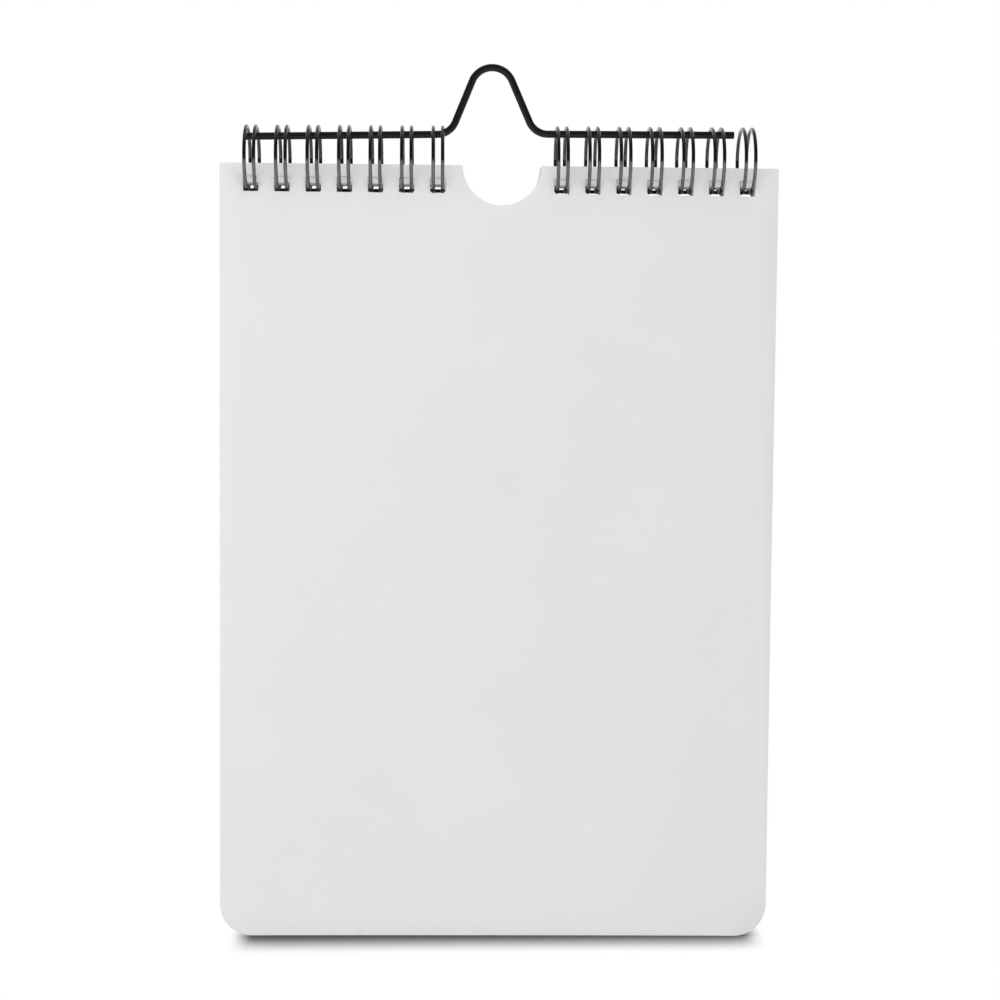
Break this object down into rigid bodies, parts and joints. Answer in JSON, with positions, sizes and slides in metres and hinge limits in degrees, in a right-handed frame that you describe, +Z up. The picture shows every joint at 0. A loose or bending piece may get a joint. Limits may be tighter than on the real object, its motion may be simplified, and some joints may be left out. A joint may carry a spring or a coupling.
{
  "type": "daily planner",
  "caption": "Portrait daily planner pad bound along its top edge by twin-loop wires beside a round thumb cut, with turning leaves and a bent wire hanger for a nail.",
  "frame": {"origin": "the point under the hanger's peak where a nail bears", "axes": "+X to the right across the sheets, +Y from the cover to the back board, +Z up"},
  "size_m": [0.1524, 0.0184, 0.2409],
  "materials": {
    "cover_stock": "smooth pale card",
    "leaf_paper": "uncoated paper",
    "back_board": "solid grey board",
    "binding_wire": "black satin coat",
    "hanger_wire": "black satin coat"
  },
  "bodies": {
    "hanger": {"wall_hanger": "hanger_wire"},
    "binding": {"binding_wire_left": "binding_wire", "binding_wire_right": "binding_wire", "back_board": "back_board"},
    "front_cover": {"front_cover": "cover_stock"},
    "leaf_01": {"leaf_01": "leaf_paper"},
    "leaf_02": {"leaf_02": "leaf_paper"},
    "leaf_03": {"leaf_03": "leaf_paper"},
    "leaf_04": {"leaf_04": "leaf_paper"},
    "leaf_05": {"leaf_05": "leaf_paper"},
    "leaf_06": {"leaf_06": "leaf_paper"},
    "leaf_07": {"leaf_07": "leaf_paper"},
    "leaf_08": {"leaf_08": "leaf_paper"},
    "leaf_09": {"leaf_09": "leaf_paper"},
    "leaf_10": {"leaf_10": "leaf_paper"},
    "leaf_11": {"leaf_11": "leaf_paper"},
    "leaf_12": {"leaf_12": "leaf_paper"},
    "leaf_13": {"leaf_13": "leaf_paper"},
    "leaf_14": {"leaf_14": "leaf_paper"},
    "leaf_block": {"leaf_block": "leaf_paper"}
  },
  "joints": [
    {"name": "pad_swing", "type": "hinge", "parent": "hanger", "child": "binding", "pos_m": [0, 0, -0.0172], "axis": [-1, 0, 0], "range_deg": [-135, 45]},
    {"name": "cover_turn", "type": "hinge", "parent": "binding", "child": "front_cover", "pos_m": [0.002, 0, -0.0237], "axis": [-1, 0, 0], "range_deg": [0, 130]},
    {"name": "leaf_01_turn", "type": "hinge", "parent": "binding", "child": "leaf_01", "pos_m": [0.002, 0, -0.0237], "axis": [-1, 0, 0], "range_deg": [0, 122]},
    {"name": "leaf_02_turn", "type": "hinge", "parent": "binding", "child": "leaf_02", "pos_m": [0.002, 0, -0.0237], "axis": [-1, 0, 0], "range_deg": [0, 114]},
    {"name": "leaf_03_turn", "type": "hinge", "parent": "binding", "child": "leaf_03", "pos_m": [0.002, 0, -0.0237], "axis": [-1, 0, 0], "range_deg": [0, 106]},
    {"name": "leaf_04_turn", "type": "hinge", "parent": "binding", "child": "leaf_04", "pos_m": [0.002, 0, -0.0237], "axis": [-1, 0, 0], "range_deg": [0, 98]},
    {"name": "leaf_05_turn", "type": "hinge", "parent": "binding", "child": "leaf_05", "pos_m": [0.002, 0, -0.0237], "axis": [-1, 0, 0], "range_deg": [0, 90]},
    {"name": "leaf_06_turn", "type": "hinge", "parent": "binding", "child": "leaf_06", "pos_m": [0.002, 0, -0.0237], "axis": [-1, 0, 0], "range_deg": [0, 82]},
    {"name": "leaf_07_turn", "type": "hinge", "parent": "binding", "child": "leaf_07", "pos_m": [0.002, 0, -0.0237], "axis": [-1, 0, 0], "range_deg": [0, 74]},
    {"name": "leaf_08_turn", "type": "hinge", "parent": "binding", "child": "leaf_08", "pos_m": [0.002, 0, -0.0237], "axis": [-1, 0, 0], "range_deg": [0, 65]},
    {"name": "leaf_09_turn", "type": "hinge", "parent": "binding", "child": "leaf_09", "pos_m": [0.002, 0, -0.0237], "axis": [-1, 0, 0], "range_deg": [0, 57]},
    {"name": "leaf_10_turn", "type": "hinge", "parent": "binding", "child": "leaf_10", "pos_m": [0.002, 0, -0.0237], "axis": [-1, 0, 0], "range_deg": [0, 49]},
    {"name": "leaf_11_turn", "type": "hinge", "parent": "binding", "child": "leaf_11", "pos_m": [0.002, 0, -0.0237], "axis": [-1, 0, 0], "range_deg": [0, 41]},
    {"name": "leaf_12_turn", "type": "hinge", "parent": "binding", "child": "leaf_12", "pos_m": [0.002, 0, -0.0237], "axis": [-1, 0, 0], "range_deg": [0, 33]},
    {"name": "leaf_13_turn", "type": "hinge", "parent": "binding", "child": "leaf_13", "pos_m": [0.002, 0, -0.0237], "axis": [-1, 0, 0], "range_deg": [0, 25]},
    {"name": "leaf_14_turn", "type": "hinge", "parent": "binding", "child": "leaf_14", "pos_m": [0.002, 0, -0.0237], "axis": [-1, 0, 0], "range_deg": [0, 17]},
    {"name": "leaf_block_turn", "type": "hinge", "parent": "binding", "child": "leaf_block", "pos_m": [0.002, 0, -0.0237], "axis": [-1, 0, 0], "range_deg": [0, 9]}
  ],
  "couplings": [
    {"joint": "leaf_01_turn", "follows": "cover_turn", "ratio": 0.9375},
    {"joint": "leaf_02_turn", "follows": "cover_turn", "ratio": 0.875},
    {"joint": "leaf_03_turn", "follows": "cover_turn", "ratio": 0.8125},
    {"joint": "leaf_04_turn", "follows": "cover_turn", "ratio": 0.75},
    {"joint": "leaf_05_turn", "follows": "cover_turn", "ratio": 0.6875},
    {"joint": "leaf_06_turn", "follows": "cover_turn", "ratio": 0.625},
    {"joint": "leaf_07_turn", "follows": "cover_turn", "ratio": 0.5625},
    {"joint": "leaf_08_turn", "follows": "cover_turn", "ratio": 0.5},
    {"joint": "leaf_09_turn", "follows": "cover_turn", "ratio": 0.4375},
    {"joint": "leaf_10_turn", "follows": "cover_turn", "ratio": 0.375},
    {"joint": "leaf_11_turn", "follows": "cover_turn", "ratio": 0.3125},
    {"joint": "leaf_12_turn", "follows": "cover_turn", "ratio": 0.25},
    {"joint": "leaf_13_turn", "follows": "cover_turn", "ratio": 0.1875},
    {"joint": "leaf_14_turn", "follows": "cover_turn", "ratio": 0.125},
    {"joint": "leaf_block_turn", "follows": "cover_turn", "ratio": 0.0625}
  ]
}
